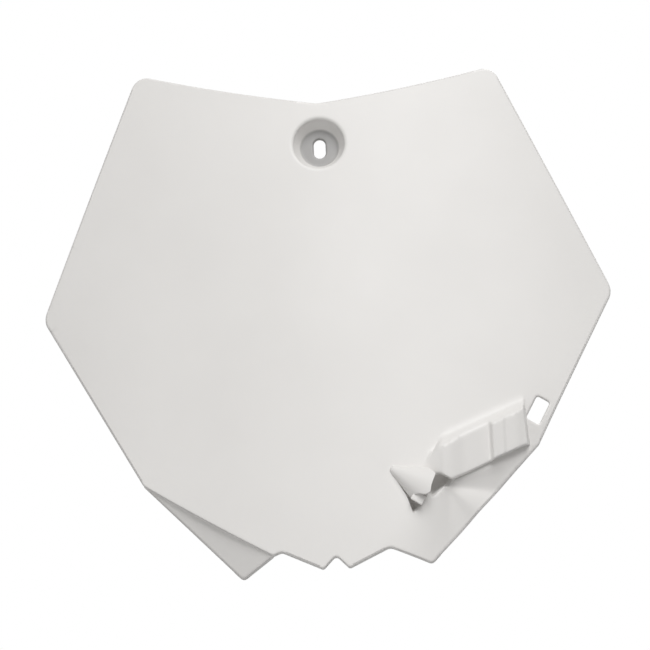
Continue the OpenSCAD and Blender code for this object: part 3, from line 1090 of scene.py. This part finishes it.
    def latch_tab(self) -> bpy.types.Object:
        """Builds the small square tab on the funnel's lower end and returns it."""
        tab = self.tab
        (cx, cz), = self.corners.by_guide(tab.middle)
        bm = bmesh.new()
        bmesh.ops.create_cube(bm, size=1.0, matrix=Matrix.Diagonal((*tab.size, 1.0)))
        bmesh.ops.bevel(bm, geom=list(bm.edges), offset=tab.bevel, segments=3, profile=0.5, affect="EDGES")
        place = Matrix.Translation((cx, self.bend.front - tab.proud, cz))
        bm.transform(place @ Matrix.Rotation(math.radians(tab.turn), 4, "Y"))
        verts = [tuple(v.co * MM) for v in bm.verts]
        faces = [tuple(v.index for v in f.verts) for f in bm.faces]
        bm.free()
        return self.piece("latch_tab", verts, faces)

    def piece(self, name: str, verts: list[Triple], faces: list[Face], weld: float = 0.0) -> bpy.types.Object:
        """Makes a flat piece and bends it to the board's radius.

        Args:
            name: Name of the piece.
            verts: Its vertices, in metres.
            faces: Its faces.
            weld: Distance under which vertices are joined, in metres, or 0.

        Returns:
            The bent piece.
        """
        mesh = bpy.data.meshes.new(name)
        mesh.from_pydata(verts, [], faces)
        mesh.validate()
        if weld:
            bm = bmesh.new()
            bm.from_mesh(mesh)
            bmesh.ops.remove_doubles(bm, verts=bm.verts, dist=weld)
            bm.to_mesh(mesh)
            bm.free()
        return self.bent(placed(name, mesh), 35)

    def bent(self, obj: bpy.types.Object, angle: float) -> bpy.types.Object:
        """Bends a piece, shades it smooth up to an angle and seats it on the frame.

        Args:
            obj: The flat piece.
            angle: Largest angle between faces that are shaded as one.

        Returns:
            The same piece.
        """
        self.bend_tree.apply(obj, {"Radius": self.bend.radius * MM, "Finish": self.plastic})
        obj.data.polygons.foreach_set("use_smooth", [True] * len(obj.data.polygons))
        obj.data.set_sharp_from_angle(angle=math.radians(angle))
        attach(obj, "root")
        LOG.info("%s: %d faces", obj.name, len(obj.data.polygons))
        return obj

    def build(self) -> None:
        """Builds every piece of the board and hides the solid from the CAD model."""
        skin = self.skin()
        self.left_flap()
        self.lips()
        self.funnel()
        self.latch_tab()
        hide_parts(NODE)


# ---- studio


@dataclass(frozen=True)
class Lamp:
    """A soft round lamp."""

    name: str
    place: Triple
    size: float
    watts: float


@dataclass
class Studio:
    """Floor, light and camera. Lengths are in metres."""

    target: Triple = (-0.00062, -0.0109, -0.094)  # the point that the camera looks at
    distance: float = 1.2
    view: Triple = (0.04213, -0.96501, -0.25882)  # direction from the target to the camera
    roll: float = 2.4
    width: float = 0.31785
    floor: float = -0.9
    floor_half: float = 4.0
    dim: float = 0.2  # strength of the light from all round
    lamps: tuple[Lamp, ...] = (
        Lamp("key", (0.5, -1.95, 1.42), 1.8, 50),
        Lamp("fill", (-1.3, -1.3, -0.3), 1.0, 3),
        Lamp("rim", (0.4, 1.2, 1.2), 0.8, 4),
    )

    def camera(self) -> None:
        """Places the camera at the photograph's angle."""
        data = bpy.data.cameras.new("camera")
        data.lens = data.sensor_width * self.distance / self.width
        data.clip_end = 50
        obj = placed("camera", data)
        back = Vector(self.view).normalized()
        right = Vector((0, 0, 1)).cross(back).normalized()
        up = back.cross(right)
        r = math.radians(self.roll)
        x, y = math.cos(r) * right - math.sin(r) * up, math.sin(r) * right + math.cos(r) * up
        turn = Matrix((x, y, back)).transposed().to_4x4()
        obj.matrix_world = Matrix.Translation(Vector(self.target) + back * self.distance) @ turn
        bpy.context.scene.camera = obj

    def hang(self, lamp: Lamp) -> None:
        """Hangs a lamp that looks at the board.

        Args:
            lamp: The lamp.
        """
        data = bpy.data.lights.new(lamp.name, "AREA")
        data.shape = "DISK"
        data.size, data.energy = lamp.size, lamp.watts
        place = Vector(lamp.place)
        look = (Vector(self.target) - place).to_track_quat("-Z", "Y").to_matrix().to_4x4()
        placed(lamp.name, data).matrix_world = Matrix.Translation(place) @ look

    def ground(self) -> None:
        """Lays the pale floor."""
        h, z = self.floor_half, self.floor
        mesh = bpy.data.meshes.new("floor")
        mesh.from_pydata([(-h, -h, z), (h, -h, z), (h, h, z), (-h, h, z)], [], [(0, 1, 2, 3)])
        plane = placed("floor", mesh)
        mat = bpy.data.materials.new("pale_floor")
        mat.use_nodes = True
        shader = mat.node_tree.nodes["Principled BSDF"]
        Graph(mat.node_tree).feed(shader, {"Base Color": (0.7, 0.7, 0.7, 1), "Roughness": 0.8})
        mesh.materials.append(mat)

    def surroundings(self) -> None:
        """Sets surroundings that look white but light the board only dimly."""
        world = bpy.data.worlds.new("studio")
        bpy.context.scene.world = world
        world.use_nodes = True
        world.node_tree.nodes.clear()
        graph = Graph(world.node_tree)
        ray = graph.node("ShaderNodeLightPath").outputs
        camera_or_glossy = graph.math("MAXIMUM", ray["Is Camera Ray"], ray["Is Glossy Ray"])
        seen = graph.math("MAXIMUM", camera_or_glossy, ray["Is Transmission Ray"])
        dim, white = (
            graph.node("ShaderNodeBackground", {"Color": color, "Strength": strength}).outputs[0]
            for color, strength in (((1.0, 0.99, 0.98, 1), self.dim), ((1, 1, 1, 1), 1.0))
        )
        mix = graph.node("ShaderNodeMixShader", {0: seen, 1: dim, 2: white}).outputs[0]
        graph.node("ShaderNodeOutputWorld", {"Surface": mix})

    def build(self) -> None:
        """Builds the floor, the lamps and the camera."""
        self.camera()
        self.ground()
        self.surroundings()
        for lamp in self.lamps:
            self.hang(lamp)
        bpy.context.scene.view_settings.view_transform = "Standard"


def main() -> None:
    """Builds the studio and the board."""
    logging.basicConfig(level=logging.INFO, format="%(name)s %(message)s")
    Studio().build()
    corners, bend = Corners(), Bend()
    Board(
        corners=corners,
        bend=bend,
        cup=ScrewCup(bend),
        guide=HoseGuide(corners, bend),
        hole=StrapHole(corners),
        plastic=MouldedPlastic().build(),
        bend_tree=BendTree(),
        lip_tree=LipTree(),
    ).build()


if __name__ == "__main__":
    main()
